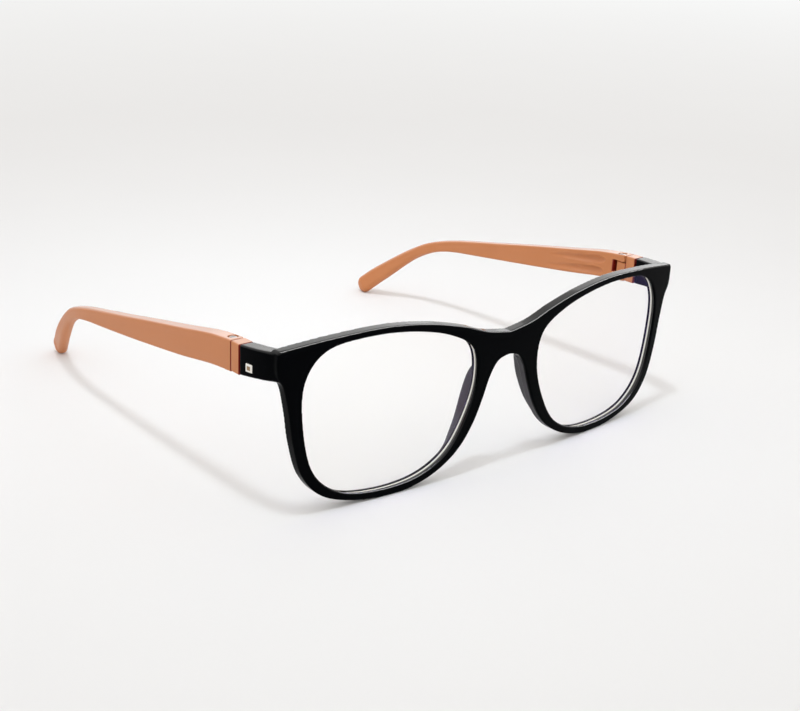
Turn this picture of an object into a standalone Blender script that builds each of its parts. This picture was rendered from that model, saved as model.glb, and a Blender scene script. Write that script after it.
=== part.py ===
"""Folding reading glasses: a moulded front, two lenses, two plastic hinges and two temples.

+X is the wearer's left, -Y is where the wearer looks, +Z is up.  The glasses stand open on
both rims and both temple tips, and the origin is on that surface, under the middle of their box.
All sizes below are in millimetres and measured from the front of the bridge (y = 0).
"""
import math

import bmesh
import bpy
from mathutils import Matrix, Vector

MM = 0.001
GAP = 0.3               # room left between pieces that touch

# Front
BASE_CURVE = 1 / 450    # 1 / radius that the front wraps round the face with
FRONT_DEPTH = 3.0
LIP = 0.6               # plastic in front of the lens groove
LENS_THICK = 1.4
LENS_GRIP = 0.6         # how far a lens reaches into the rim
SLICE = 4.0             # width of the flat strips that the curved front is made of
TOP_LINE = [(0, 37.6), (8, 39.0), (16, 41.7), (27, 44.3), (40, 45.7), (55, 45.2), (69.4, 43.8)]
SIDE_LINE = [(69.8, 43.2), (69.7, 37.8), (68.0, 34.2), (66.6, 27.5), (65.3, 19.0), (62.7, 10.4),
             (57.2, 4.2), (48, 1.0), (37, 0.0), (28.7, 1.0), (21.5, 3.7), (15.6, 8.0),
             (11.3, 14.0), (8.4, 20.6), (6.2, 26.6), (3.6, 30.2), (0, 31.2)]
WINDOW = [(63.1, 26.0), (62.2, 36.0), (56.5, 42.3), (45, 43.9), (32.5, 43.1), (20.5, 40.1),
          (12.4, 34.9), (11.1, 25.5), (14.6, 15.2), (20.3, 7.3), (29.5, 3.0), (42, 2.3),
          (53, 4.7), (60.3, 12.0)]

# Nose pads, moulded in one with the rims
PAD_LINE = [(4.6, 29.2), (6.5, 26.0), (8.4, 20.6), (11.3, 14.0), (15.6, 8.0), (19.6, 5.0)]
PAD_REACH = 3.7         # behind the rim, at the widest place
PAD_THICK = 2.0
PAD_EDGE = 0.6          # corner taken off the free edge
PAD_SPLAY = 9           # degrees that a pad opens towards the face
PAD_ROOT = 1.2          # depth in the rim at which a pad starts
PAD_END_REACH = 1.5     # what is left of the pad at its two ends, still inside the rim

# End pieces: y, outer x, inner x, top z, bottom z
OUTER_X = 72.4          # outer side of the temples
INNER_X = 68.2
END_BACK = 17.8         # where the black end piece stops
END_PIECE = [(6.4, 69.6, 65.6, 43.2, 36.0), (9, 70.6, 66.2, 43.1, 35.7),
             (13, 71.6, 67.3, 42.8, 35.3), (END_BACK, OUTER_X, INNER_X, 42.5, 34.8)]
STUD_Y, STUD_Z = 14.6, 37.4
STUD_SIZE, STUD_DEEP, STUD_PROUD = 2.2, 1.4, 0.15

# Hinges
BLOCK_BACK = 21.4       # where the coloured hinge block stops
BLOCK_TOP, BLOCK_LOW = 42.4, 34.6
TENON_IN, TENON_OUT = 69.2, 71.2
TENON_FRONT = 13.6
TENON_LOW, TENON_HIGH = 39.2, 41.5
AXIS_X, AXIS_Y = 69.9, 24.3
KNUCKLE_R = 1.5
KNUCKLE_LOW, KNUCKLE_HIGH = 36.6, 39.9
CORNER_R = 2.6          # inner front corner of the temple, which sweeps past the block
SHANK_R, THREAD_R = 0.7, 0.5
BORE_R = 1.0
HEAD_R, HEAD_HIGH = 1.1, 0.7
SLOT_WIDE, SLOT_DEEP = 0.4, 0.35
SCREW_TOP, SCREW_LOW = 42.1, 34.7
INSERT_R, INSERT_BORE_R = 1.0, 0.7
INSERT_LOW, INSERT_HIGH = 34.6, 36.0

# Temple stations: middle (y, z), height, middle x, thickness, corner radius
TEMPLE = [(21.7, 38.35, 8.1, 70.3, 4.2, 0.5), (31, 37.4, 7.9, 70.3, 4.2, 0.6),
          (45, 34.9, 7.5, 70.5, 3.8, 0.8), (60, 32.4, 6.8, 70.5, 3.4, 0.9),
          (75, 29.9, 5.8, 70.4, 3.2, 1.0), (90, 27.5, 4.8, 70.1, 3.1, 1.1),
          (99, 26.0, 4.1, 69.8, 3.1, 1.2), (106, 24.4, 3.7, 69.2, 3.2, 1.3),
          (112, 22.3, 3.7, 68.3, 3.3, 1.3), (118, 19.1, 3.9, 67.1, 3.4, 1.4),
          (123.2, 15.5, 4.6, 65.8, 3.4, 1.5), (128.6, 11.3, 5.4, 64.3, 3.4, 1.5),
          (133.8, 7.2, 6.0, 62.6, 3.3, 1.5)]
TIP_R = 3.1             # rounded end of the ear tip, which stands on the surface
TIP_Y, TIP_X, TIP_THICK = 138.5, 61.0, 3.2
TIP_DROP = 37           # degrees that the ear tip points down at its end
SCOOPS = [(38, 37.9), (38, 34.2)]           # y, z of the two hollows on the inner side
SCOOP_DEEP, SCOOP_LONG, SCOOP_HIGH, SCOOP_TILT = 0.9, 10.5, 1.15, -9.5
HALF_LENGTH = (TIP_Y + TIP_R) / 2

parts = bpy.data.collections.new("folding_reading_glasses")
cutters = bpy.data.collections.new("shaping_solids")


def start_scene():
    """Empty the scene and add the collections and the empty that every piece hangs from."""
    for old in list(bpy.data.objects):
        bpy.data.objects.remove(old)
    bpy.context.scene.collection.children.link(parts)
    bpy.context.scene.collection.children.link(cutters)
    return empty("middle", (0, -HALF_LENGTH, 0), None)


def empty(name, place, parent):
    made = bpy.data.objects.new(name, None)
    made.location = Vector(place) * MM
    made.parent = parent
    parts.objects.link(made)
    return made


def material(name, colour, roughness, metallic=0.0, alpha=1.0):
    made = bpy.data.materials.new(name)
    made.use_nodes = True
    shader = made.node_tree.nodes["Principled BSDF"]
    shader.inputs["Base Color"].default_value = (*colour, 1)
    shader.inputs["Roughness"].default_value = roughness
    shader.inputs["Metallic"].default_value = metallic
    shader.inputs["Alpha"].default_value = alpha
    return made


def wrap(x):
    """How far behind the bridge the curved front is at x."""
    return BASE_CURVE * x * x / 2


def smooth(points, steps=4, closed=True):
    """A Catmull-Rom curve through points, with steps pieces from each point to the next."""
    count = len(points)
    spans = count if closed else count - 1
    line = []
    for i in range(spans):
        near = [i + k for k in (-1, 0, 1, 2)]
        near = [k % count if closed else min(max(k, 0), count - 1) for k in near]
        a, b, c, d = (Vector(points[k]) for k in near)
        for step in range(steps):
            t = step / steps
            line.append((2 * b + (c - a) * t + (2 * a - 5 * b + 4 * c - d) * t * t
                         + (3 * b - a - 3 * c + d) * t ** 3) / 2)
    if not closed:
        line.append(Vector(points[-1]))
    return line


def offset(loop, distance):
    """A closed outline moved outwards; the loop runs anticlockwise."""
    moved = []
    for i, point in enumerate(loop):
        along = loop[(i + 1) % len(loop)] - loop[i - 1]
        moved.append(point + Vector((along.y, -along.x)).normalized() * distance)
    return moved


def mirrored(loop):
    return [Vector((-p[0], p[1])) for p in reversed(loop)]


def window_loop(grow, side):
    """The outline of one lens opening, grown all round."""
    loop = offset(smooth(WINDOW), grow)
    return loop if side > 0 else mirrored(loop)


def front_loop():
    half = smooth(TOP_LINE, 3, closed=False) + smooth(SIDE_LINE, 3, closed=False)
    return half[:-1] + [Vector((-p.x, p.y)) for p in reversed(half[1:])]


def finish_mesh(name, bm, group, axis=None):
    """Faces out, millimetres to metres, one object; a moving piece hangs from its axis."""
    bmesh.ops.recalc_face_normals(bm, faces=bm.faces)
    if axis:
        bmesh.ops.translate(bm, vec=-axis.location / MM, verts=bm.verts)
    bmesh.ops.scale(bm, vec=(MM, MM, MM), verts=bm.verts)
    mesh = bpy.data.meshes.new(name)
    bm.to_mesh(mesh)
    bm.free()
    made = bpy.data.objects.new(name, mesh)
    group.objects.link(made)
    made.parent = axis or middle
    if group is cutters:
        made.hide_render = True
        made.display_type = "WIRE"
    return made


def flat_plate(loops, front_y, depth):
    """A plate with the outline of the first loop and the holes of the others, as a bmesh."""
    curve = bpy.data.curves.new("outline", "CURVE")
    curve.dimensions = "2D"
    curve.fill_mode = "BOTH"
    curve.extrude = depth / 2
    for loop in loops:
        spline = curve.splines.new("POLY")
        spline.points.add(len(loop) - 1)
        spline.use_cyclic_u = True
        for point, (x, z) in zip(spline.points, loop):
            point.co = (x, z, 0, 1)
    holder = bpy.data.objects.new("outline", curve)
    bpy.context.scene.collection.objects.link(holder)
    bpy.context.view_layer.update()
    graph = bpy.context.evaluated_depsgraph_get()
    mesh = bpy.data.meshes.new_from_object(holder.evaluated_get(graph))
    bm = bmesh.new()
    bm.from_mesh(mesh)
    bpy.data.objects.remove(holder)
    bmesh.ops.remove_doubles(bm, verts=bm.verts, dist=0.001)
    stand_up = Matrix.Translation((0, front_y + depth / 2, 0)) @ Matrix.Rotation(math.pi / 2, 4, "X")
    bmesh.ops.transform(bm, matrix=stand_up, verts=bm.verts)
    return bm


def wrap_round(bm):
    """Cut a plate into upright strips and bend it round the face."""
    low = min(v.co.x for v in bm.verts)
    high = max(v.co.x for v in bm.verts)
    cut = SLICE * math.ceil(low / SLICE)
    while cut < high:
        every = bm.verts[:] + bm.edges[:] + bm.faces[:]
        bmesh.ops.bisect_plane(bm, geom=every, dist=0.01, plane_co=(cut, 0, 0), plane_no=(1, 0, 0))
        cut += SLICE
    bmesh.ops.triangulate(bm, faces=bm.faces)
    for vert in bm.verts:
        vert.co.y += wrap(vert.co.x)
    return bm


def loft(bm, rings):
    """Skin a run of rings that have the same number of points, and cap both ends."""
    rows = [[bm.verts.new(point) for point in ring] for ring in rings]
    for one, two in zip(rows, rows[1:]):
        for i in range(len(one)):
            bm.faces.new((one[i - 1], one[i], two[i], two[i - 1]))
    bm.faces.new(rows[0])
    bm.faces.new(rows[-1])
    return bm


def rounded_ring(middle_point, up, high, thick, radius):
    """A rounded rectangle about a point, high along up and thick along X."""
    half_high, half_thick = high / 2, thick / 2
    radius = min(radius, half_high * 0.98, half_thick * 0.98)
    ring = []
    for quarter in range(4):
        for step in range(4):
            turn = math.radians(90 * quarter + 30 * step)
            across = half_thick - radius if quarter in (0, 3) else radius - half_thick
            along = half_high - radius if quarter in (0, 1) else radius - half_high
            ring.append(middle_point + Vector((across + radius * math.cos(turn), 0, 0))
                        + up * (along + radius * math.sin(turn)))
    return ring


def upright_ring(side, y, outer, inner, high, low):
    """A ring of the end piece or the hinge block, which stands upright across Y."""
    centre = Vector((side * (outer + inner) / 2, y, (high + low) / 2))
    return rounded_ring(centre, Vector((0, 0, 1)), high - low, outer - inner, 0.6)


def box(low, high, side=1):
    """A box between two corners, mirrored to the wearer's right when side is -1."""
    low, high = Vector(low), Vector(high)
    bm = bmesh.new()
    size = high - low
    middle_point = (low + high) / 2
    middle_point.x *= side
    place = Matrix.Translation(middle_point) @ Matrix.Diagonal((*size, 1))
    bmesh.ops.create_cube(bm, size=1, matrix=place)
    return bm


def cylinder(radius, low, high, side, sides=24):
    """An upright cylinder on the hinge axis."""
    bm = bmesh.new()
    place = Matrix.Translation((side * AXIS_X, AXIS_Y, (low + high) / 2))
    bmesh.ops.create_cone(bm, cap_ends=True, segments=sides, radius1=radius, radius2=radius,
                          depth=high - low, matrix=place)
    return bm


def shape(target, operation, name, bm):
    """Join a solid to a piece, or cut it away."""
    tool = finish_mesh(name, bm, cutters)
    step = target.modifiers.new(name, "BOOLEAN")
    step.operation = operation
    step.solver = "EXACT"
    step.object = tool
    return tool


def end_piece(side):
    """The swept-back end of the front, from the rim to the hinge block."""
    return loft(bmesh.new(), [upright_ring(side, *station) for station in END_PIECE])


def nose_pad(side):
    """A fin that grows out of the rim beside the nose and opens towards the face."""
    line = smooth(PAD_LINE, 3, closed=False)
    splay = math.radians(PAD_SPLAY)
    back = Vector((math.sin(splay), math.cos(splay)))
    across = Vector((math.cos(splay), -math.sin(splay)))
    root = Vector((0.2, PAD_ROOT))
    full_reach = FRONT_DEPTH - PAD_ROOT + PAD_REACH
    rings = []
    for i, point in enumerate(line):
        along = line[min(i + 1, len(line) - 1)] - line[max(i - 1, 0)]
        inward = Vector((-along.y, along.x)).normalized()
        swell = math.sin(math.pi * (i / (len(line) - 1)) ** 0.65)
        reach = PAD_END_REACH + (full_reach - PAD_END_REACH) * swell
        section = [root,
                   root + back * (reach - PAD_EDGE),
                   root + back * reach + across * PAD_EDGE,
                   root + back * reach + across * (PAD_THICK - PAD_EDGE),
                   root + back * (reach - PAD_EDGE) + across * PAD_THICK,
                   root + across * PAD_THICK]
        ring = []
        for into, depth in section:
            spot = point + inward * into
            ring.append(Vector((side * spot.x, wrap(point.x) + depth, spot.y)))
        rings.append(ring)
    return loft(bmesh.new(), rings)


def make_front(black):
    """Rims, bridge, nose pads and end pieces in one, with grooves for the lenses."""
    outlines = [front_loop(), window_loop(0, 1), window_loop(0, -1)]
    front = finish_mesh("front_frame", wrap_round(flat_plate(outlines, 0, FRONT_DEPTH)), parts)
    for side, name in ((-1, "right"), (1, "left")):
        shape(front, "UNION", name + "_end_piece", end_piece(side))
        shape(front, "UNION", name + "_nose_pad", nose_pad(side))
        groove = flat_plate([window_loop(LENS_GRIP + GAP, side)], LIP, LENS_THICK + 2 * GAP)
        shape(front, "DIFFERENCE", name + "_lens_groove", wrap_round(groove))
        socket = box((TENON_IN - GAP, TENON_FRONT - GAP, TENON_LOW - GAP),
                     (TENON_OUT + GAP, END_BACK + 1, TENON_HIGH + GAP), side)
        shape(front, "DIFFERENCE", name + "_block_socket", socket)
        shape(front, "DIFFERENCE", name + "_stud_seat", stud_block(side, GAP, 1.0))
    front.data.materials.append(black)


def stud_block(side, grow, proud):
    """The square stud, turned to lie on the flared side of the end piece."""
    start_y, start_x = END_PIECE[1][:2]
    flare = math.atan2(OUTER_X - start_x, END_BACK - start_y)
    outer = start_x + math.tan(flare) * (STUD_Y - start_y)
    size = STUD_SIZE + 2 * grow
    deep = STUD_DEEP + grow + proud
    place = (Matrix.Translation((side * outer, STUD_Y, STUD_Z))
             @ Matrix.Rotation(-side * flare, 4, "Z")
             @ Matrix.Translation((side * (proud - deep / 2), 0, 0))
             @ Matrix.Diagonal((deep, size, size, 1)))
    bm = bmesh.new()
    bmesh.ops.create_cube(bm, size=1, matrix=place)
    return bm


def make_stud(side, name, metal):
    stud = finish_mesh(name + "_corner_stud", stud_block(side, 0, STUD_PROUD), parts)
    soften = stud.modifiers.new("edges", "BEVEL")
    soften.width = 0.15 * MM
    soften.segments = 1
    stud.data.materials.append(metal)


def make_lens(side, name, clear):
    blank = flat_plate([window_loop(LENS_GRIP, side)], LIP + GAP, LENS_THICK)
    lens = finish_mesh(name + "_lens", wrap_round(blank), parts)
    lens.data.materials.append(clear)


def make_hinge_block(side, name, plastic):
    """The coloured block behind the end piece, with its tenon and the middle knuckle."""
    rings = [upright_ring(side, y, OUTER_X, INNER_X, BLOCK_TOP, BLOCK_LOW)
             for y in (END_BACK + GAP, BLOCK_BACK)]
    block = finish_mesh(name + "_hinge_block", loft(bmesh.new(), rings), parts)
    tenon = box((TENON_IN, TENON_FRONT, TENON_LOW), (TENON_OUT, END_BACK + 1.5, TENON_HIGH), side)
    shape(block, "UNION", name + "_tenon", tenon)
    neck = box((AXIS_X - KNUCKLE_R, BLOCK_BACK - 1.5, KNUCKLE_LOW),
               (AXIS_X + KNUCKLE_R, AXIS_Y, KNUCKLE_HIGH), side)
    shape(block, "UNION", name + "_neck", neck)
    barrel = cylinder(KNUCKLE_R, KNUCKLE_LOW - 0.01, KNUCKLE_HIGH + 0.01, side)
    shape(block, "UNION", name + "_barrel", barrel)
    shape(block, "DIFFERENCE", name + "_pin_bore", cylinder(BORE_R, 30, 45, side))
    block.data.materials.append(plastic)


def temple_rings(side):
    """The stations of a temple, each square to its middle line, then the rounded end."""
    rings = []
    line = [Vector((0, y, z)) for y, z, *rest in TEMPLE] + [Vector((0, TIP_Y, TIP_R))]
    for i, (y, z, high, x, thick, radius) in enumerate(TEMPLE):
        along = (line[i + 1] - line[i - 1]).normalized() if i else Vector((0, 1, 0))
        up = Vector((0, -along.z, along.y))
        rings.append(rounded_ring(Vector((side * x, y, z)), up, high, thick, radius))
    drop = math.radians(TIP_DROP)
    along, up = Vector((0, math.cos(drop), -math.sin(drop))), Vector((0, math.sin(drop), math.cos(drop)))
    for turn in map(math.radians, (0, 25, 50, 70)):
        centre = Vector((side * TIP_X, TIP_Y, TIP_R)) + along * TIP_R * math.sin(turn)
        thick = TIP_THICK * math.cos(turn * 0.8)
        rings.append(rounded_ring(centre, up, 2 * TIP_R * math.cos(turn), thick, 1.5))
    return rings


def make_temple(side, name, plastic, axis):
    """A side arm: fork of two knuckles at the hinge, scooped inner side, dropped ear tip."""
    rings = loft(bmesh.new(), temple_rings(side))
    temple = finish_mesh(name + "_temple", rings, parts, axis)
    pocket = box((INNER_X - 2, BLOCK_BACK - 1, KNUCKLE_LOW - GAP),
                 (AXIS_X + KNUCKLE_R + GAP, AXIS_Y + 2.1, KNUCKLE_HIGH + GAP), side)
    shape(temple, "DIFFERENCE", name + "_knuckle_pocket", pocket)
    corner = box((INNER_X - 2, BLOCK_BACK - 1, 30), (AXIS_X, AXIS_Y, 46), side)
    corner_cutter = shape(temple, "DIFFERENCE", name + "_knuckle_corner", corner)
    shape(corner_cutter, "DIFFERENCE", name + "_knuckle_round", cylinder(CORNER_R, 28, 48, side, 48))
    shape(temple, "DIFFERENCE", name + "_screw_bore", cylinder(BORE_R, 36, 45, side))
    head_seat = cylinder(HEAD_R + GAP, SCREW_TOP - HEAD_HIGH - GAP, 45, side)
    shape(temple, "DIFFERENCE", name + "_head_seat", head_seat)
    insert_seat = cylinder(INSERT_R + GAP, 30, INSERT_HIGH + 0.1, side)
    shape(temple, "DIFFERENCE", name + "_insert_seat", insert_seat)
    for number, (y, z) in enumerate(SCOOPS):
        scoop = bmesh.new()
        place = (Matrix.Translation((side * INNER_X, y, z))
                 @ Matrix.Rotation(math.radians(SCOOP_TILT), 4, "X")
                 @ Matrix.Diagonal((SCOOP_DEEP, SCOOP_LONG, SCOOP_HIGH, 1)))
        bmesh.ops.create_uvsphere(scoop, u_segments=16, v_segments=10, radius=1, matrix=place)
        shape(temple, "DIFFERENCE", "%s_scoop_%d" % (name, number), scoop)
    temple.data.materials.append(plastic)


def make_screw(side, name, steel, axis):
    """The hinge pin: a slotted head, a plain shank and a thinner threaded end."""
    head = cylinder(HEAD_R, SCREW_TOP - HEAD_HIGH, SCREW_TOP, side)
    screw = finish_mesh(name + "_hinge_screw", head, parts, axis)
    shape(screw, "UNION", name + "_shank", cylinder(SHANK_R, INSERT_HIGH + 0.15, SCREW_TOP - 0.5, side))
    shape(screw, "UNION", name + "_thread", cylinder(THREAD_R, SCREW_LOW, INSERT_HIGH + 0.6, side))
    slot = box((AXIS_X - 2, AXIS_Y - SLOT_WIDE / 2, SCREW_TOP - SLOT_DEEP),
               (AXIS_X + 2, AXIS_Y + SLOT_WIDE / 2, SCREW_TOP + 1), side)
    shape(screw, "DIFFERENCE", name + "_slot", slot)
    screw.data.materials.append(steel)


def make_insert(side, name, brass, axis):
    """The threaded metal bush pressed into the lowest knuckle."""
    bush = cylinder(INSERT_R, INSERT_LOW, INSERT_HIGH, side)
    insert = finish_mesh(name + "_screw_insert", bush, parts, axis)
    shape(insert, "DIFFERENCE", name + "_insert_bore", cylinder(INSERT_BORE_R, 33, 38, side))
    insert.data.materials.append(brass)


middle = start_scene()
black_plastic = material("black_plastic", (0.012, 0.012, 0.014), 0.16)
terracotta = material("terracotta_plastic", (0.53, 0.21, 0.11), 0.38)
clear_lens = material("clear_lens", (0.97, 0.97, 0.95), 0.03, alpha=0.25)
steel_finish = material("screw_steel", (0.55, 0.55, 0.56), 0.3, 1.0)
brass_finish = material("insert_brass", (0.75, 0.6, 0.35), 0.35, 1.0)
make_front(black_plastic)
for hand, label in ((-1, "right"), (1, "left")):
    make_lens(hand, label, clear_lens)
    make_stud(hand, label, steel_finish)
    make_hinge_block(hand, label, terracotta)
    hinge_axis = empty(label + "_hinge_axis", (hand * AXIS_X, AXIS_Y, 0), middle)
    make_temple(hand, label, terracotta, hinge_axis)
    make_screw(hand, label, steel_finish, hinge_axis)
    make_insert(hand, label, brass_finish, hinge_axis)
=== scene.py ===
import math

import bmesh
import bpy
from mathutils import Matrix, Vector


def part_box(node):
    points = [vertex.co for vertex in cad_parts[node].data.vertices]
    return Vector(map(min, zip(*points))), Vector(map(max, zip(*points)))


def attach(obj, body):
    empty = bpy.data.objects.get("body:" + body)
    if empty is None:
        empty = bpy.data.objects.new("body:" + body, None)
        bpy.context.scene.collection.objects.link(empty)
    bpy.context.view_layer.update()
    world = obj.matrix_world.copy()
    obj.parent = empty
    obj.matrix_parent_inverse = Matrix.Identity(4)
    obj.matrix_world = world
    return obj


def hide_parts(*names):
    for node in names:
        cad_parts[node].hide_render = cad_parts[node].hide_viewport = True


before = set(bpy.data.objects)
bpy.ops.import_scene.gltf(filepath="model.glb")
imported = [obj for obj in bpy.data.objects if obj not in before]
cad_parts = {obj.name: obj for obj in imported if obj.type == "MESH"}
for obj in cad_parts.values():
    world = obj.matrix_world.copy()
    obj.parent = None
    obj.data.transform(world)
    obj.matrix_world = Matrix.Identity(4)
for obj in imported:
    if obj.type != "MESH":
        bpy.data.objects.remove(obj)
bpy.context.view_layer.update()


# ---- Table, light and camera -----------------------------------------------------------
# The glasses stand open on a seamless white sheet that rises in a cove on all sides.  One
# small soft lamp hangs above them and white surroundings fill the shadows.  Two white panels
# only show up as reflections: they give the plastic its bright edges.

MM = 0.001
bridge_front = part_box("front_frame")[0].y      # the foremost point of the glasses


def at(x, y, z):
    """A place given in millimetres, with y measured back from the bridge."""
    return Vector((x * MM, y * MM + bridge_front, z * MM))


class Level:
    """A value that changes over a surface.  Sums and products of it add Math nodes."""

    def __init__(self, finish, socket):
        self.finish = finish
        self.socket = socket

    def math(self, operation, one, two):
        return self.finish.node("ShaderNodeMath", {"operation": operation}, {0: one, 1: two})

    def __add__(self, other):
        return self.math("ADD", self, other)

    def __sub__(self, other):
        return self.math("SUBTRACT", self, other)

    def __rsub__(self, other):
        return self.math("SUBTRACT", other, self)

    def __mul__(self, other):
        return self.math("MULTIPLY", self, other)

    __radd__ = __add__
    __rmul__ = __mul__


class Finish:
    """A material while it is put together, with one way to add any node."""

    def __init__(self, name, sockets):
        self.material = bpy.data.materials.new(name)
        self.material.use_nodes = True
        self.tree = self.material.node_tree
        self.surface = self.tree.nodes["Principled BSDF"]
        self.output = self.tree.nodes["Material Output"]
        self.fill(self.surface, sockets)

    def fill(self, node, sockets):
        for key, value in sockets.items():
            if isinstance(value, Level):
                self.tree.links.new(value.socket, node.inputs[key])
            else:
                node.inputs[key].default_value = value

    def node(self, kind, settings, sockets, result=0):
        node = self.tree.nodes.new(kind)
        for key, value in settings.items():
            setattr(node, key, value)
        self.fill(node, sockets)
        return Level(self, node.outputs[result])

    def math_of(self, operation, one):
        return self.node("ShaderNodeMath", {"operation": operation}, {0: one})

    def place(self):
        """Where on the piece: it stays with the piece when the piece moves."""
        return self.node("ShaderNodeTexCoord", {}, {}, "Object")

    def part_of(self, vector, axis):
        """One coordinate of a vector."""
        return self.node("ShaderNodeSeparateXYZ", {}, {0: vector}, axis)

    def along(self, axis):
        """How far along an axis of the frame, in metres."""
        return self.part_of(self.place(), axis)

    def facing_up(self, low, high):
        """0 where the surface stands upright or hangs over, 1 where it lies flat."""
        way = self.node("ShaderNodeTexCoord", {}, {}, "Normal")
        return self.steps(self.part_of(way, "Z"), low, high)

    def noise(self, size, detail=3.0, stretch=(1, 1, 1)):
        """A cloudy pattern with lumps of about size metres, from 0 to 1."""
        spread = self.node("ShaderNodeMapping", {}, {"Vector": self.place(), "Scale": stretch})
        sockets = {"Vector": spread, "Scale": 1 / size, "Detail": detail}
        return self.node("ShaderNodeTexNoise", {}, sockets)

    def between(self, one, two, share):
        """A colour between two colours."""
        return self.node("ShaderNodeMix", {"data_type": "RGBA"}, {0: share, 6: one, 7: two}, 2)

    def steps(self, level, low, high):
        """The level stretched so that low becomes 0 and high becomes 1."""
        sockets = {"Value": level, "From Min": low, "From Max": high}
        return self.node("ShaderNodeMapRange", {}, sockets)

    def bump(self, height, depth, under=None):
        """A surface normal from a height of 0 to 1 that stands for depth metres."""
        sockets = {"Height": height, "Distance": depth, "Strength": 1.0}
        if under:
            sockets["Normal"] = under
        return self.node("ShaderNodeBump", {}, sockets)


SHEET_FLAT, SHEET_COVE = 2.6, 1.6       # metres: flat radius, then the radius of the cove
SHEET_SIDES = 96
profile = [(SHEET_FLAT * i / 6, 0) for i in range(7)]
for turn in (math.radians(a) for a in range(6, 61, 6)):
    profile.append((SHEET_FLAT + SHEET_COVE * math.sin(turn), SHEET_COVE * (1 - math.cos(turn))))
spokes = [2 * math.pi * k / SHEET_SIDES for k in range(SHEET_SIDES)]
sheet_bm = bmesh.new()
rows = []
for out, rise in profile[1:]:
    rows.append([sheet_bm.verts.new((out * math.cos(a), out * math.sin(a), rise)) for a in spokes])
hub = sheet_bm.verts.new((0, 0, 0))
for k in range(SHEET_SIDES):
    sheet_bm.faces.new((hub, rows[0][k - 1], rows[0][k]))
    for inner, outer in zip(rows, rows[1:]):
        sheet_bm.faces.new((inner[k - 1], outer[k - 1], outer[k], inner[k]))
sheet_mesh = bpy.data.meshes.new("white_sheet")
sheet_bm.to_mesh(sheet_mesh)
sheet_bm.free()
sheet_mesh.shade_smooth()
sheet = bpy.data.objects.new("white_sheet", sheet_mesh)
bpy.context.scene.collection.objects.link(sheet)
paper = Finish("white_paper", {"Roughness": 0.6, "Specular IOR Level": 0.0})
# Painted light and shade: the sheet is painted darker within 0.25 m of the glasses and lighter out to 1.6
# m, standing in for how the light falls on the floor.
away = paper.node("ShaderNodeVectorMath", {"operation": "LENGTH"}, {0: paper.place()}, "Value")
near_colour = paper.between((0.790, 0.787, 0.785, 1), (0.805, 0.802, 0.800, 1), paper.noise(0.09, 2.0))
paper.fill(paper.surface, {
    "Base Color": paper.between(near_colour, (0.935, 0.955, 0.968, 1), paper.steps(away, 0.25, 1.6))})
sheet_mesh.materials.append(paper.material)

world = bpy.data.worlds.new("white_room")
world.use_nodes = True
surroundings = world.node_tree.nodes["Background"]
surroundings.inputs["Color"].default_value = (1.015, 0.998, 0.980, 1)
surroundings.inputs["Strength"].default_value = 1.0
bpy.context.scene.world = world


def lamp(name, place, aim, size, power, colour=(1, 1, 1)):
    """A round lamp of one size in metres, or a rectangular one of two."""
    made = bpy.data.lights.new(name, "AREA")
    made.size = size[0]
    made.energy = power
    made.color = colour
    if len(size) == 2:
        made.shape = "RECTANGLE"
        made.size_y = size[1]
    else:
        made.shape = "DISK"
    holder = bpy.data.objects.new(name, made)
    holder.location = place
    holder.rotation_euler = (Vector(aim) - Vector(place)).to_track_quat("-Z", "Y").to_euler()
    bpy.context.scene.collection.objects.link(holder)
    return holder


hanging = lamp("hanging_lamp", at(-125, -20, 600), at(30, 100, 0), (0.085,), 0.106, (0.92, 1.0, 1.08))
hanging.data.spread = math.radians(56)
for panel in (lamp("edge_strip", at(650, -250, 750), at(650, 0, 30), (1.4, 0.2), 32),
              lamp("back_panel", at(900, 1060, 520), at(0, 40, 30), (1.4, 0.7), 2.2)):
    panel.visible_diffuse = False
    panel.visible_camera = False

# The camera looks down a little from in front of the wearer's right side.
CAMERA_TURN, CAMERA_RISE = math.radians(-40.33), math.radians(20.45)
CAMERA_ROLL = math.radians(2.81)
CAMERA_REACH = 0.3207
CAMERA_AIM = at(-37.72, 0, 38.44)
back = Vector((math.sin(CAMERA_TURN) * math.cos(CAMERA_RISE),
               -math.cos(CAMERA_TURN) * math.cos(CAMERA_RISE), math.sin(CAMERA_RISE)))
level_right = Vector((math.cos(CAMERA_TURN), math.sin(CAMERA_TURN), 0))
level_up = back.cross(level_right)
right = level_right * math.cos(CAMERA_ROLL) + level_up * math.sin(CAMERA_ROLL)
up = level_up * math.cos(CAMERA_ROLL) - level_right * math.sin(CAMERA_ROLL)
lens_data = bpy.data.cameras.new("camera")
lens_data.lens = 59.4
lens_data.clip_start = 0.01
camera = bpy.data.objects.new("camera", lens_data)
turned = Matrix((right, up, back)).transposed().to_4x4()
camera.matrix_world = Matrix.Translation(CAMERA_AIM + back * CAMERA_REACH) @ turned
bpy.context.scene.collection.objects.link(camera)
bpy.context.scene.camera = camera
bpy.context.scene.view_settings.view_transform = "Standard"


# ---- Front frame -----------------------------------------------------------------------
# One injection moulding in polished black plastic: both rims, the bridge, the two nose pads
# and the end pieces.  Every outer edge is rounded by the mould, and the whole front is
# wrapped a little round the face.

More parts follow.
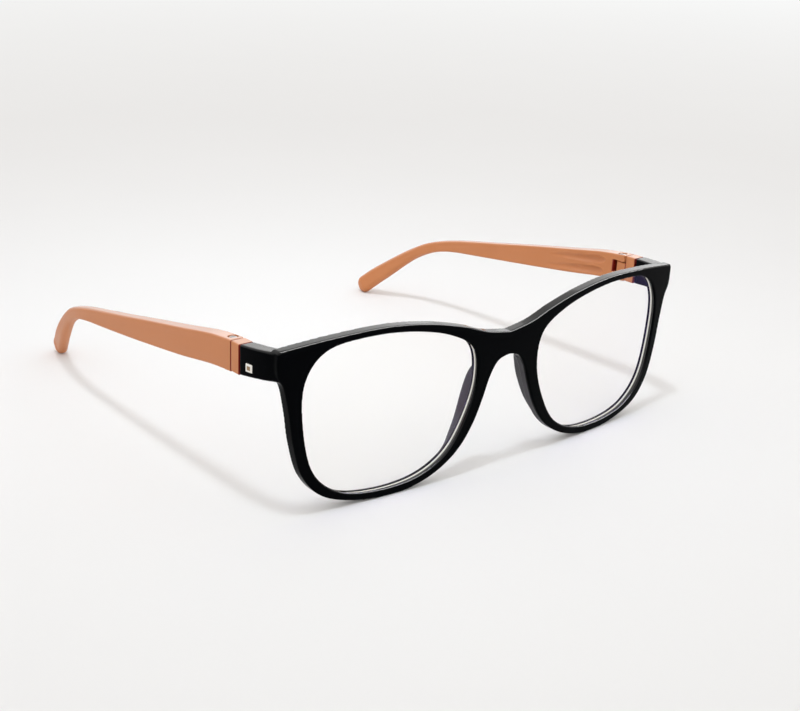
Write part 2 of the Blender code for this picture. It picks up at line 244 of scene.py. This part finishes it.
WRAP_RADIUS, WRAP_END = 450, 69.8       # the end pieces outside WRAP_END run straight back
FRONT_DEPTH = 3.0
LIP = 0.6                      # plastic in front of the lens groove
LENS_THICK, LENS_GRIP = 1.4, 0.6
GAP = 0.3                      # room left between pieces that touch
BACK_RELIEF = 0.4              # how much lower the lip behind the lens is
TOP_LINE = [(0, 37.6), (8, 39.0), (16, 41.7), (27, 44.3), (40, 45.7), (55, 45.2), (69.4, 43.8)]
SIDE_LINE = [(69.8, 43.2), (69.7, 37.8), (68.0, 34.2), (66.6, 27.5), (65.3, 19.0), (62.7, 10.4),
             (57.2, 4.2), (48, 1.0), (37, 0.0), (28.7, 1.0), (21.5, 3.7), (15.6, 8.0),
             (11.3, 14.0), (8.4, 20.6), (6.2, 26.6), (3.6, 30.2), (0, 31.2)]
WINDOW = [(63.1, 26.0), (62.2, 36.0), (56.5, 42.3), (45, 43.9), (32.5, 43.1), (20.5, 40.1),
          (12.4, 34.9), (11.1, 25.5), (14.6, 15.2), (20.3, 7.3), (29.5, 3.0), (42, 2.3),
          (53, 4.7), (60.3, 12.0)]
PAD_LINE = [(4.6, 29.2), (6.5, 26.0), (8.4, 20.6), (11.3, 14.0), (15.6, 8.0), (19.6, 5.0)]
PAD_REACH, PAD_THICK, PAD_EDGE = 3.7, 2.0, 0.6
PAD_SPLAY = math.radians(9)
PAD_ROOT, PAD_SINK = 1.2, 0.2  # where a pad starts, back from the front and in from the rim's edge
PAD_END = 1.5                  # what is left of the reach at both ends of a pad
PAD_PEAK = 0.65                # under 1, so that a pad reaches furthest near its upper end
OUTER_X, INNER_X = 72.4, 68.2
END_BACK = 17.8
END_PIECE = [(6.4, 69.6, 65.6, 43.2, 36.0), (9, 70.6, 66.2, 43.1, 35.7),
             (13, 71.6, 67.3, 42.8, 35.3), (END_BACK, OUTER_X, INNER_X, 42.5, 34.8)]
EDGE_R = 0.35
STUD_Y, STUD_Z, STUD_SIZE, SEAT_DEEP = 14.6, 37.4, 2.2, 1.7
TENON_IN, TENON_OUT = 69.2, 71.2        # the tongue by which a hinge block sits in an end piece
TENON_FRONT, TENON_LOW, TENON_HIGH = 13.6, 39.2, 41.5


def wrap(x):
    """How far back the wrap takes the front at x."""
    return x * x / (2 * WRAP_RADIUS)


def curve_through(points, steps, closed=True):
    """A smooth line through the points, with steps short pieces from each to the next."""
    count = len(points)
    line = []
    for i in range(count if closed else count - 1):
        near = [k % count if closed else min(max(k, 0), count - 1) for k in range(i - 1, i + 3)]
        a, b, c, d = (Vector(points[k]) for k in near)
        for step in range(steps):
            t = step / steps
            line.append((2 * b + (c - a) * t + (2 * a - 5 * b + 4 * c - d) * t * t
                         + (3 * b - a - 3 * c + d) * t ** 3) / 2)
    return line if closed else line + [Vector(points[-1])]


def window_outline(grow, steps=12):
    """The lens opening on the wearer's left, grown all round."""
    loop = curve_through(WINDOW, steps)
    moved = []
    for i, point in enumerate(loop):
        along = loop[(i + 1) % len(loop)] - loop[i - 1]
        moved.append(point + Vector((along.y, -along.x)).normalized() * grow)
    return moved


def other_side(loop):
    """The mirror image of a loop, running the same way round."""
    return [Vector((-p[0], *p[1:])) for p in reversed(loop)]


def finished_mesh(thing):
    """A new mesh of a curve, or of an object with its modifiers."""
    bpy.context.view_layer.update()
    ready = thing.evaluated_get(bpy.context.evaluated_depsgraph_get())
    return bpy.data.meshes.new_from_object(ready)


def plate(loops, low, high):
    """A flat plate between y = low and y = high; the loops after the first are holes."""
    curve = bpy.data.curves.new("outline", "CURVE")
    curve.dimensions = "2D"
    curve.fill_mode = "BOTH"
    curve.extrude = (high - low) / 2
    for loop in loops:
        spline = curve.splines.new("POLY")
        spline.points.add(len(loop) - 1)
        spline.use_cyclic_u = True
        for point, (x, z) in zip(spline.points, loop):
            point.co = (x, z, 0, 1)
    holder = bpy.data.objects.new("outline", curve)
    bpy.context.scene.collection.objects.link(holder)
    mesh = finished_mesh(holder)
    bpy.data.objects.remove(holder)
    bm = bmesh.new()
    bm.from_mesh(mesh)
    bmesh.ops.remove_doubles(bm, verts=bm.verts, dist=0.001)
    upright = Matrix.Translation((0, (low + high) / 2, 0)) @ Matrix.Rotation(math.pi / 2, 4, "X")
    bmesh.ops.transform(bm, matrix=upright, verts=bm.verts)
    return bm


def skin(rings):
    """A closed shell through a run of rings."""
    bm = bmesh.new()
    rows = [[bm.verts.new(point) for point in ring] for ring in rings]
    for one, two in zip(rows, rows[1:]):
        for i in range(len(one)):
            bm.faces.new((one[i - 1], one[i], two[i], two[i - 1]))
    bm.faces.new(rows[0])
    bm.faces.new(rows[-1])
    return bm


def rounded_ring(middle, up_way, high, thick, radius, steps=3):
    """A rounded rectangle, high along up_way and thick along X."""
    half_high, half_thick = high / 2, thick / 2
    radius = min(radius, half_high * 0.98, half_thick * 0.98)
    ring = []
    for quarter in range(4):
        for step in range(steps + 1):
            turn = math.pi / 2 * (quarter + step / steps)
            across = half_thick - radius if quarter in (0, 3) else radius - half_thick
            along = half_high - radius if quarter in (0, 1) else radius - half_high
            ring.append(middle + Vector((across + radius * math.cos(turn), 0, 0))
                        + up_way * (along + radius * math.sin(turn)))
    return ring


def upright_ring(y, outer, inner, high, low, bend=0.0):
    """A section of an end piece or a hinge block, bend nearer the front than y."""
    centre = Vector(((outer + inner) / 2, y - bend, (high + low) / 2))
    return rounded_ring(centre, Vector((0, 0, 1)), high - low, outer - inner, EDGE_R)


def block(low, high):
    """A box from its lowest to its highest corner."""
    bm = bmesh.new()
    size = Vector(high) - Vector(low)
    place = Matrix.Translation((Vector(low) + Vector(high)) / 2) @ Matrix.Diagonal((*size, 1))
    bmesh.ops.create_cube(bm, size=1, matrix=place)
    return bm


def to_object(name, shells):
    """One object from one or more closed shells, with every face pointing out."""
    mesh = bpy.data.meshes.new(name)
    whole = bmesh.new()
    for shell in shells:
        bmesh.ops.recalc_face_normals(shell, faces=shell.faces)
        shell.to_mesh(mesh)
        shell.free()
        whole.from_mesh(mesh)
    whole.to_mesh(mesh)
    whole.free()
    made = bpy.data.objects.new(name, mesh)
    bpy.context.scene.collection.objects.link(made)
    return made


def apply_modifiers(piece):
    mesh = finished_mesh(piece)
    piece.modifiers.clear()
    piece.data = mesh
    return piece


def soften(piece, rounds, group=""):
    """Edges rounded by smoothing, all over or within a vertex group."""
    smooth = piece.modifiers.new("soften", "SMOOTH")
    smooth.vertex_group = group
    smooth.factor = 0.5
    smooth.iterations = rounds
    return apply_modifiers(piece)


def melt(piece, grain, rounds):
    """Shells melted into one skin of even grain, with every edge rounded."""
    skin_over = piece.modifiers.new("melt", "REMESH")
    skin_over.mode = "VOXEL"
    skin_over.voxel_size = grain
    skin_over.adaptivity = 0
    return soften(piece, rounds)


def cut_away(piece, shells):
    """Solids cut out of a piece."""
    for shell in shells:
        tool = to_object("tool", [shell])
        cut = piece.modifiers.new("cut", "BOOLEAN")
        cut.operation = "DIFFERENCE"
        cut.solver = "MANIFOLD"
        cut.object = tool
        apply_modifiers(piece)
        bpy.data.objects.remove(tool)
    return piece


def settle(piece, finish, body, slot, *nodes, crease=40):
    """Millimetres to the frame's metres, then finish, body and the nodes it stands for."""
    place = Matrix.Translation((0, bridge_front, 0)) @ Matrix.Diagonal((MM, MM, MM, 1))
    piece.data.transform(place)
    piece.data.shade_smooth()
    piece.data.set_sharp_from_angle(angle=math.radians(crease))
    piece.data.materials.clear()
    piece.data.materials.append(finish.material)
    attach(piece, body)
    if nodes:
        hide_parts(*nodes)
    return piece


def nose_pad():
    """A fin beside the nose that reaches furthest near its upper end."""
    line = curve_through(PAD_LINE, 8, closed=False)
    back_way = Vector((math.sin(PAD_SPLAY), math.cos(PAD_SPLAY)))
    across_way = Vector((math.cos(PAD_SPLAY), -math.sin(PAD_SPLAY)))
    root = Vector((PAD_SINK, PAD_ROOT))
    full_reach = FRONT_DEPTH - PAD_ROOT + PAD_REACH
    rings = []
    for i, point in enumerate(line):
        along = line[min(i + 1, len(line) - 1)] - line[max(i - 1, 0)]
        inward = Vector((-along.y, along.x)).normalized()
        swell = math.sin(math.pi * (i / (len(line) - 1)) ** PAD_PEAK)
        reach = PAD_END + (full_reach - PAD_END) * swell
        free_edge = [(reach - PAD_EDGE, 0), (reach, PAD_EDGE), (reach, PAD_THICK - PAD_EDGE),
                     (reach - PAD_EDGE, PAD_THICK)]
        section = [root + back_way * behind + across_way * across
                   for behind, across in [(0, 0), *free_edge, (0, PAD_THICK)]]
        ring = []
        for into, depth in section:
            spot = point + inward * into
            ring.append(Vector((spot.x, depth + wrap(point.x) - wrap(spot.x), spot.y)))
        rings.append(ring)
    return rings


half = curve_through(TOP_LINE, 10, closed=False) + curve_through(SIDE_LINE, 10, closed=False)
outline = half[:-1] + [Vector((-p.x, p.y)) for p in reversed(half[1:])]
window = window_outline(0)
end_stations = curve_through(END_PIECE, 6, closed=False)
end_rings = [upright_ring(*station, bend=wrap(WRAP_END)) for station in end_stations]
shells = [plate([outline, window, other_side(window)], 0, FRONT_DEPTH)]
for rings in (end_rings, nose_pad()):
    shells += [skin(rings), skin([other_side(ring) for ring in rings])]
front = melt(to_object("front_frame_moulding", shells), grain=0.2, rounds=9)

CORNER_X, CORNER_X_FADE = 66.5, 1.5     # the outer corners of the front are rounded more
CORNER_Y, CORNER_Y_FADE = 5.0, 2.0
corner = front.vertex_groups.new(name="corner")
for vert in front.data.vertices:
    outward = min(max((abs(vert.co.x) - CORNER_X) / CORNER_X_FADE, 0), 1)
    forward = min(max((CORNER_Y - vert.co.y) / CORNER_Y_FADE, 0), 1)
    if outward * forward > 0:
        corner.add([vert.index], outward * forward, "REPLACE")
soften(front, 16, "corner")

groove_back = LIP + LENS_THICK + 2 * GAP
for hole, low, high in ((window_outline(LENS_GRIP + GAP), LIP, groove_back),
                        (window_outline(BACK_RELIEF), groove_back - 0.1, FRONT_DEPTH + 1)):
    cut_away(front, [plate([loop], low, high) for loop in (hole, other_side(hole))])
for vert in front.data.vertices:
    vert.co.y += wrap(min(abs(vert.co.x), WRAP_END))


def stud_seat(side):
    """The square pocket in the flared side of an end piece."""
    start_y, start_x = END_PIECE[1][:2]
    flare = math.atan2(OUTER_X - start_x, END_BACK - start_y)
    outer = start_x + math.tan(flare) * (STUD_Y - start_y)
    size = STUD_SIZE + GAP
    place = (Matrix.Translation((side * outer, STUD_Y, STUD_Z)) @ Matrix.Rotation(-side * flare, 4, "Z")
             @ Matrix.Diagonal((2 * SEAT_DEEP, size, size, 1)))
    bm = bmesh.new()
    bmesh.ops.create_cube(bm, size=1, matrix=place)
    return bm


def tenon_socket(side):
    """The hole in the back of an end piece for the tenon of the hinge block."""
    near, far = sorted((side * (TENON_IN - GAP), side * (TENON_OUT + GAP)))
    return block((near, TENON_FRONT - GAP, TENON_LOW - GAP), (far, END_BACK + 1, TENON_HIGH + GAP))


cut_away(front, [stud_seat(1), stud_seat(-1), tenon_socket(1), tenon_socket(-1)])
thin_out = front.modifiers.new("thin_out", "DECIMATE")
thin_out.ratio = 0.4
apply_modifiers(front)

SATIN_AND_SHEEN_BACK = (0.7, 1.3)        # the pads are satin, with a painted sheen of lighter grey: where that starts and is full, back from the bridge, out from the middle and up from the table
SATIN_AND_SHEEN_SIDE = (24, 20)          # bridge, out from the middle and up from the table
SATIN_AND_SHEEN_HIGH = (31.5, 26.5)
black = Finish("black_gloss_plastic", {
    "Specular IOR Level": 0.022, "Coat Roughness": 0.04, "Coat IOR": 1.5})
scuffs = black.steps(black.noise(0.0016, 6.0, (1, 0.15, 1)), 0.62, 0.75)
clouds = black.noise(0.011, 2.0)
# Painted sheen: the pads get a lighter grey base colour that stands in for their sheen, and a rougher,
# satin surface.
satin_and_sheen = (black.steps(black.along("Y"), *(bridge_front + place * MM for place in SATIN_AND_SHEEN_BACK))
         * black.steps(black.math_of("ABSOLUTE", black.along("X")), *(place * MM for place in SATIN_AND_SHEEN_SIDE))
         * black.steps(black.along("Z"), *(place * MM for place in SATIN_AND_SHEEN_HIGH)))
gloss_colour = black.between((0.0001, 0.0003, 0.0008, 1), (0.0004, 0.0007, 0.0012, 1), clouds)
grain = black.bump(black.noise(0.0004, 2.0), 0.0000015)
black.fill(black.surface, {
    "Base Color": black.between(gloss_colour, (0.072, 0.070, 0.076, 1), satin_and_sheen),
    "Roughness": 0.10 + clouds * 0.05 + scuffs * 0.08 + satin_and_sheen * 0.25,
    "Coat Weight": black.facing_up(0.10, 0.55) * 0.7,
    "Normal": black.bump(black.noise(0.006, 1.0), 0.000012, grain)})
settle(front, black, "front", "black_plastic", "front_frame")


# ---- Lenses ----------------------------------------------------------------------------
# Clear plus lenses, a little thicker in the middle, with a ground edge that sits in the
# groove of the rim.  A blue light coating gives them a warm tint and violet reflections.

RINGS_ACROSS = 20
FRONT_CROWN, BACK_CROWN = -0.42, 0.06   # how far back the middle of each face lies

lens_line = window_outline(LENS_GRIP, 10)
lens_middle = sum(lens_line, Vector((0, 0))) / len(lens_line)
lens_front = LIP + GAP
lens_back = lens_front + LENS_THICK

clear = Finish("coated_lens", {})
tint = clear.node("ShaderNodeBsdfTransparent", {}, {"Color": (1.0, 0.998, 0.985, 1)})
shine = clear.node("ShaderNodeBsdfGlossy", {}, {"Color": (0.44, 0.34, 1.0, 1), "Roughness": 0.015})
outside = 1 - clear.node("ShaderNodeNewGeometry", {}, {}, "Backfacing")
facing = clear.node("ShaderNodeFresnel", {}, {"IOR": 1.5})
smears = clear.steps(clear.noise(0.012, 3.0, (1, 1, 0.5)), 0.35, 0.8)
share = facing * outside * (0.50 + smears * 0.12)
mixed = clear.node("ShaderNodeMixShader", {}, {0: share, 1: tint, 2: shine})
clear.fill(clear.output, {"Surface": mixed})
ground = Finish("ground_lens_edge", {"Roughness": 0.55})
sideways = ground.along("X")
depth_in_rim = ground.along("Y") - bridge_front - sideways * sideways * (0.5 / (WRAP_RADIUS * MM))
cream = ground.between((0.80, 0.79, 0.73, 1), (0.90, 0.89, 0.84, 1), ground.noise(0.0012))
in_shade_of_lip = (0.03, 0.03, 0.03, 1)
ground.fill(ground.surface, {
    "Base Color": ground.between(in_shade_of_lip, cream, ground.steps(depth_in_rim, 1.65 * MM, 1.9 * MM))})

for side, hand in ((-1, "right"), (1, "left")):
    bm = bmesh.new()
    rims = []
    for depth, crown in ((lens_front, FRONT_CROWN), (lens_back, BACK_CROWN)):
        rows = []
        for ring in range(1, RINGS_ACROSS + 1):
            share = ring / RINGS_ACROSS
            row = []
            for point in lens_line:
                x, z = lens_middle + (point - lens_middle) * share
                row.append(bm.verts.new((side * x, depth + wrap(x) + crown * (1 - share * share), z)))
            rows.append(row)
        middle = bm.verts.new((side * lens_middle.x, depth + wrap(lens_middle.x) + crown, lens_middle.y))
        rims.append(rows[-1])
        for k in range(len(lens_line)):
            bm.faces.new((middle, rows[0][k - 1], rows[0][k]))
            for inner, outer in zip(rows, rows[1:]):
                bm.faces.new((inner[k - 1], outer[k - 1], outer[k], inner[k]))
    one, two = rims
    for k in range(len(lens_line)):
        bm.faces.new((one[k - 1], two[k - 1], two[k], one[k]))
    lens = to_object(hand + "_lens_coated", [bm])
    settle(lens, clear, "front", "lens", hand + "_lens", crease=50)
    lens.data.materials.append(ground.material)
    for edge_face in lens.data.polygons[-len(lens_line):]:      # the faces made last
        edge_face.material_index = 1


# ---- Corner studs ----------------------------------------------------------------------
# A small square of polished metal with a brown centre, pressed into a square seat in the
# outer side of each end piece.  It stands a little proud of the plastic.

CENTRE_FADE = (0.62, 0.42)     # from the stud's middle, where the brown starts and where it is full
chrome = Finish("polished_stud", {"Metallic": 1.0})
brush = chrome.noise(0.0005, 3.0, (1, 1, 8))
centre = 1
for axis, middle in (("Y", STUD_Y * MM + bridge_front), ("Z", STUD_Z * MM)):
    off = chrome.math_of("ABSOLUTE", chrome.along(axis) - middle)
    centre = chrome.steps(off, *(place * MM for place in CENTRE_FADE)) * centre
metal_colour = chrome.between((0.78, 0.76, 0.70, 1), (0.95, 0.93, 0.88, 1), brush)
chrome.fill(chrome.surface, {
    "Base Color": chrome.between(metal_colour, (0.30, 0.20, 0.11, 1), centre),
    "Roughness": 0.14 + brush * 0.12})
for hand in ("right", "left"):
    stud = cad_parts[hand + "_corner_stud"]
    stud.data.materials.clear()
    stud.data.materials.append(chrome.material)


# ---- Hinge blocks ----------------------------------------------------------------------
# Terracotta plastic plugs behind the end pieces.  Each is moulded with a tenon that sits in
# the socket of its end piece, and with the middle knuckle of its hinge.

BLOCK_BACK = 21.4
BLOCK_TOP, BLOCK_LOW = 42.4, 34.6
AXIS_X, AXIS_Y = 69.9, 24.3
KNUCKLE_R, KNUCKLE_LOW, KNUCKLE_HIGH = 1.5, 36.6, 39.9
BORE_R = 1.0
BELOW, ABOVE = 30, 45          # heights that are clear of the hinge, where cuts start and end
POCKET_BACK = AXIS_Y + 2.1     # the wall of the temple behind the middle knuckle


def peg(radius, low, high, sides=48):
    """An upright cylinder on the hinge axis."""
    bm = bmesh.new()
    place = Matrix.Translation((AXIS_X, AXIS_Y, (low + high) / 2))
    bmesh.ops.create_cone(bm, cap_ends=True, segments=sides, radius1=radius, radius2=radius,
                          depth=high - low, matrix=place)
    return bm


def mirror_copy(piece, name):
    """The same piece for the other side of the face."""
    mesh = piece.data.copy()
    mesh.transform(Matrix.Diagonal((-1, 1, 1, 1)))
    mesh.flip_normals()
    made = bpy.data.objects.new(name, mesh)
    bpy.context.scene.collection.objects.link(made)
    return made


terracotta = Finish("terracotta_plastic", {"IOR": 1.42, "Coat Roughness": 0.16})
mottle = terracotta.noise(0.009, 4.0)
speck = terracotta.noise(0.0005, 4.0)


def crevice(level, middle, wide, fade):
    """1 within wide millimetres of a middle, falling to 0 over fade more."""
    off = terracotta.math_of("ABSOLUTE", level - middle)
    return terracotta.steps(off, (wide + fade) * MM, wide * MM)


def across_at(y, wide, fade):
    """A crevice that runs across the piece, y millimetres back from the bridge."""
    return crevice(terracotta.along("Y"), y * MM + bridge_front, wide, fade)


# Painted shade: the plastic is coloured dark red in the gaps between end piece, hinge block and temple, and
# on the pocket wall behind the middle knuckle, where shade falls.
knuckle_middle = (KNUCKLE_LOW + KNUCKLE_HIGH) / 2
from_middle = terracotta.math_of("ABSOLUTE", terracotta.along("X"))
pocket_wall = (across_at(POCKET_BACK - 0.05, 0.3, 0.1)
               * crevice(terracotta.along("Z"), knuckle_middle * MM, 1.85, 0.1)
               * terracotta.steps(from_middle, 72.0 * MM, 71.8 * MM))
painted_crevice_shade = across_at(BLOCK_BACK + GAP / 2, 0.20, 0.14) + across_at(END_BACK + GAP / 2, 0.20, 0.14) + pocket_wall
plain_colour = terracotta.between((0.500, 0.176, 0.057, 1), (0.548, 0.202, 0.073, 1), mottle)
waviness = terracotta.bump(terracotta.noise(0.007, 1.0), 0.00001)
terracotta.fill(terracotta.surface, {
    "Base Color": terracotta.between(plain_colour, (0.21, 0.012, 0.005, 1), painted_crevice_shade),
    "Roughness": 0.36 + mottle * 0.08 + speck * 0.08,
    "Coat Weight": terracotta.facing_up(0.25, 0.75),
    "Normal": terracotta.bump(terracotta.noise(0.00035, 4.0), 0.000004, waviness)})

ends = (END_BACK + GAP, BLOCK_BACK)
plug = skin([upright_ring(y, OUTER_X, INNER_X, BLOCK_TOP, BLOCK_LOW) for y in ends])
tenon = block((TENON_IN, TENON_FRONT, TENON_LOW), (TENON_OUT, END_BACK + 1.5, TENON_HIGH))
neck = block((AXIS_X - KNUCKLE_R, BLOCK_BACK - 1.5, KNUCKLE_LOW),
             (AXIS_X + KNUCKLE_R, AXIS_Y, KNUCKLE_HIGH))
knuckle = peg(KNUCKLE_R, KNUCKLE_LOW, KNUCKLE_HIGH)
left_block = melt(to_object("left_hinge_plug", [plug, tenon, neck, knuckle]), grain=0.12, rounds=3)
cut_away(left_block, [peg(BORE_R, BELOW, ABOVE)])
right_block = mirror_copy(left_block, "right_hinge_plug")
for hand, piece in (("left", left_block), ("right", right_block)):
    settle(piece, terracotta, "front", "terracotta_plastic", hand + "_hinge_block")


# ---- Temples ---------------------------------------------------------------------------
# The side arms, moulded in the same terracotta plastic: deep and flat at the hinge, slim at
# the bend behind the ear, and widening into a rounded tip that the glasses stand on.

# Stations down the arm: middle (y, z), height, middle x, thickness, corner radius.
TEMPLE = [(21.7, 38.35, 8.1, 70.3, 4.2, 0.35), (31, 37.4, 7.9, 70.3, 4.2, 0.35),
          (45, 34.9, 7.5, 70.5, 3.8, 0.4), (60, 32.4, 6.8, 70.5, 3.4, 0.45),
          (75, 29.9, 5.8, 70.4, 3.2, 0.55), (90, 27.5, 4.8, 70.1, 3.1, 0.7),
          (99, 26.0, 4.1, 69.8, 3.1, 0.8), (106, 24.4, 3.7, 69.2, 3.2, 0.9),
          (112, 22.3, 3.7, 68.3, 3.3, 0.9), (118, 19.1, 3.9, 67.1, 3.4, 1.4),
          (123.2, 15.5, 4.6, 65.8, 3.4, 1.5), (128.6, 11.3, 5.4, 64.3, 3.4, 1.5),
          (133.8, 7.2, 6.0, 62.6, 3.3, 1.5)]
TIP_R, TIP_Y, TIP_X, TIP_THICK, TIP_DROP = 3.1, 138.5, 61.0, 3.2, math.radians(37)
TIP_EDGE_R = 1.5
STEPS = 6                      # rings from each station to the next
CORNER_SWEEP_R = 2.6           # the inner front corner is round, so it can swing past the block
INSERT_R, INSERT_HIGH = 1.0, 36.0
SCREW_TOP, HEAD_R, HEAD_HIGH = 42.1, 1.1, 0.7
SCOOPS = [(34, 38.3), (35, 34.7)]       # where (y, z) two channels in the inner side are deepest
SCOOP_LONG, SCOOP_BLUNT, SCOOP_DEEP, SCOOP_HIGH = 26, 4.5, 0.9, 1.15
SCOOP_DROP = math.radians(9.5)


def temple_skin():
    """The outside of the left arm, from its square front end to its round tip."""
    tip = (TIP_Y, TIP_R, 2 * TIP_R, TIP_X, TIP_THICK, TIP_EDGE_R)
    stations = curve_through(TEMPLE + [tip], STEPS, closed=False)
    rings = []
    for i, (y, z, high, x, thick, radius) in enumerate(stations[:-1]):
        ahead, behind = stations[i + 1], stations[max(i - 1, 0)]
        along = Vector((0, ahead[0] - behind[0], ahead[1] - behind[1])).normalized()
        if i < STEPS:           # the front end is square to the hinge block
            along = along.lerp(Vector((0, 1, 0)), 1 - i / STEPS).normalized()
        up_way = Vector((0, -along.z, along.y))
        rings.append(rounded_ring(Vector((x, y, z)), up_way, high, thick, radius, 6))
    along = Vector((0, math.cos(TIP_DROP), -math.sin(TIP_DROP)))
    up_way = Vector((0, math.sin(TIP_DROP), math.cos(TIP_DROP)))
    for turn in (math.radians(a) for a in (0, 12, 24, 36, 48, 60, 70, 78)):
        centre = Vector((TIP_X, TIP_Y, TIP_R)) + along * TIP_R * math.sin(turn)
        thick = TIP_THICK * math.cos(turn * 0.8)
        rings.append(rounded_ring(centre, up_way, 2 * TIP_R * math.cos(turn), thick, TIP_EDGE_R, 6))
    return skin(rings)


def scoop(y, z):
    """A shallow channel, blunt towards the hinge and running out slowly behind."""
    bm = bmesh.new()
    bmesh.ops.create_uvsphere(bm, u_segments=48, v_segments=24, radius=1)
    for vert in bm.verts:
        vert.co.y *= SCOOP_LONG if vert.co.y > 0 else SCOOP_BLUNT
    place = (Matrix.Translation((INNER_X, y, z)) @ Matrix.Rotation(-SCOOP_DROP, 4, "X")
             @ Matrix.Diagonal((SCOOP_DEEP, 1, SCOOP_HIGH, 1)))
    bmesh.ops.transform(bm, matrix=place, verts=bm.verts)
    return bm


left_temple = to_object("left_side_arm", [temple_skin()])
corner_tool = to_object("corner_tool", [
    block((INNER_X - 2, BLOCK_BACK - 1, BELOW), (AXIS_X, AXIS_Y, ABOVE + 1))])
cut_away(corner_tool, [peg(CORNER_SWEEP_R, BELOW - 2, ABOVE + 3, 64)])
sweep = bmesh.new()
sweep.from_mesh(corner_tool.data)
bpy.data.objects.remove(corner_tool)
pocket = block((INNER_X - 2, BLOCK_BACK - 1, KNUCKLE_LOW - GAP),
               (AXIS_X + KNUCKLE_R + GAP, POCKET_BACK, KNUCKLE_HIGH + GAP))
cut_away(left_temple, [sweep, pocket] + [scoop(*place) for place in SCOOPS])
melt(left_temple, grain=0.2, rounds=3)
cut_away(left_temple, [peg(BORE_R, INSERT_HIGH, ABOVE),
                       peg(HEAD_R + GAP, SCREW_TOP - HEAD_HIGH - GAP, ABOVE),
                       peg(INSERT_R + GAP, BELOW, INSERT_HIGH + 0.1)])
right_temple = mirror_copy(left_temple, "right_side_arm")
for hand, piece in (("left", left_temple), ("right", right_temple)):
    settle(piece, terracotta, hand + "_arm", "terracotta_plastic", hand + "_temple")


# ---- Hinge screws and inserts ----------------------------------------------------------
# The pin of each hinge is a small steel screw with a slotted, slightly domed head.  It ends
# in a brass bush in the lowest knuckle.

steel = Finish("screw_steel", {"Metallic": 1.0})
turning = steel.noise(0.0004, 3.0, (1, 1, 12))
steel.fill(steel.surface, {
    "Base Color": steel.between((0.42, 0.42, 0.43, 1), (0.62, 0.61, 0.60, 1), turning),
    "Roughness": 0.22 + turning * 0.16})
brass = Finish("insert_brass", {"Metallic": 1.0})
patina = brass.noise(0.0006)
brass.fill(brass.surface, {
    "Base Color": brass.between((0.62, 0.45, 0.20, 1), (0.78, 0.60, 0.32, 1), patina),
    "Roughness": 0.25 + patina * 0.15})

SCREW_SIDES = 48
SCREW_PROFILE = [(0.55, 42.07), (0.85, 42.0), (1.03, 41.88), (HEAD_R, 41.75), (HEAD_R, 41.4),
                 (0.7, 41.4), (0.7, 36.2), (0.5, INSERT_HIGH), (0.5, 34.7)]
SLOT_WIDE, SLOT_DEEP = 0.4, 0.35
spokes = [2 * math.pi * k / SCREW_SIDES for k in range(SCREW_SIDES)]
turned_rings = [[Vector((AXIS_X + r * math.cos(a), AXIS_Y + r * math.sin(a), z)) for a in spokes]
                for r, z in SCREW_PROFILE]
left_screw = to_object("left_slotted_screw", [skin(turned_rings)])
cut_away(left_screw, [block((AXIS_X - 2, AXIS_Y - SLOT_WIDE / 2, SCREW_TOP - SLOT_DEEP),
                            (AXIS_X + 2, AXIS_Y + SLOT_WIDE / 2, SCREW_TOP + 1))])
right_screw = mirror_copy(left_screw, "right_slotted_screw")
for hand, piece in (("left", left_screw), ("right", right_screw)):
    settle(piece, steel, hand + "_arm", "screw_steel", hand + "_hinge_screw", crease=30)
    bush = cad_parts[hand + "_screw_insert"]
    bush.data.materials.clear()
    bush.data.materials.append(brass.material)
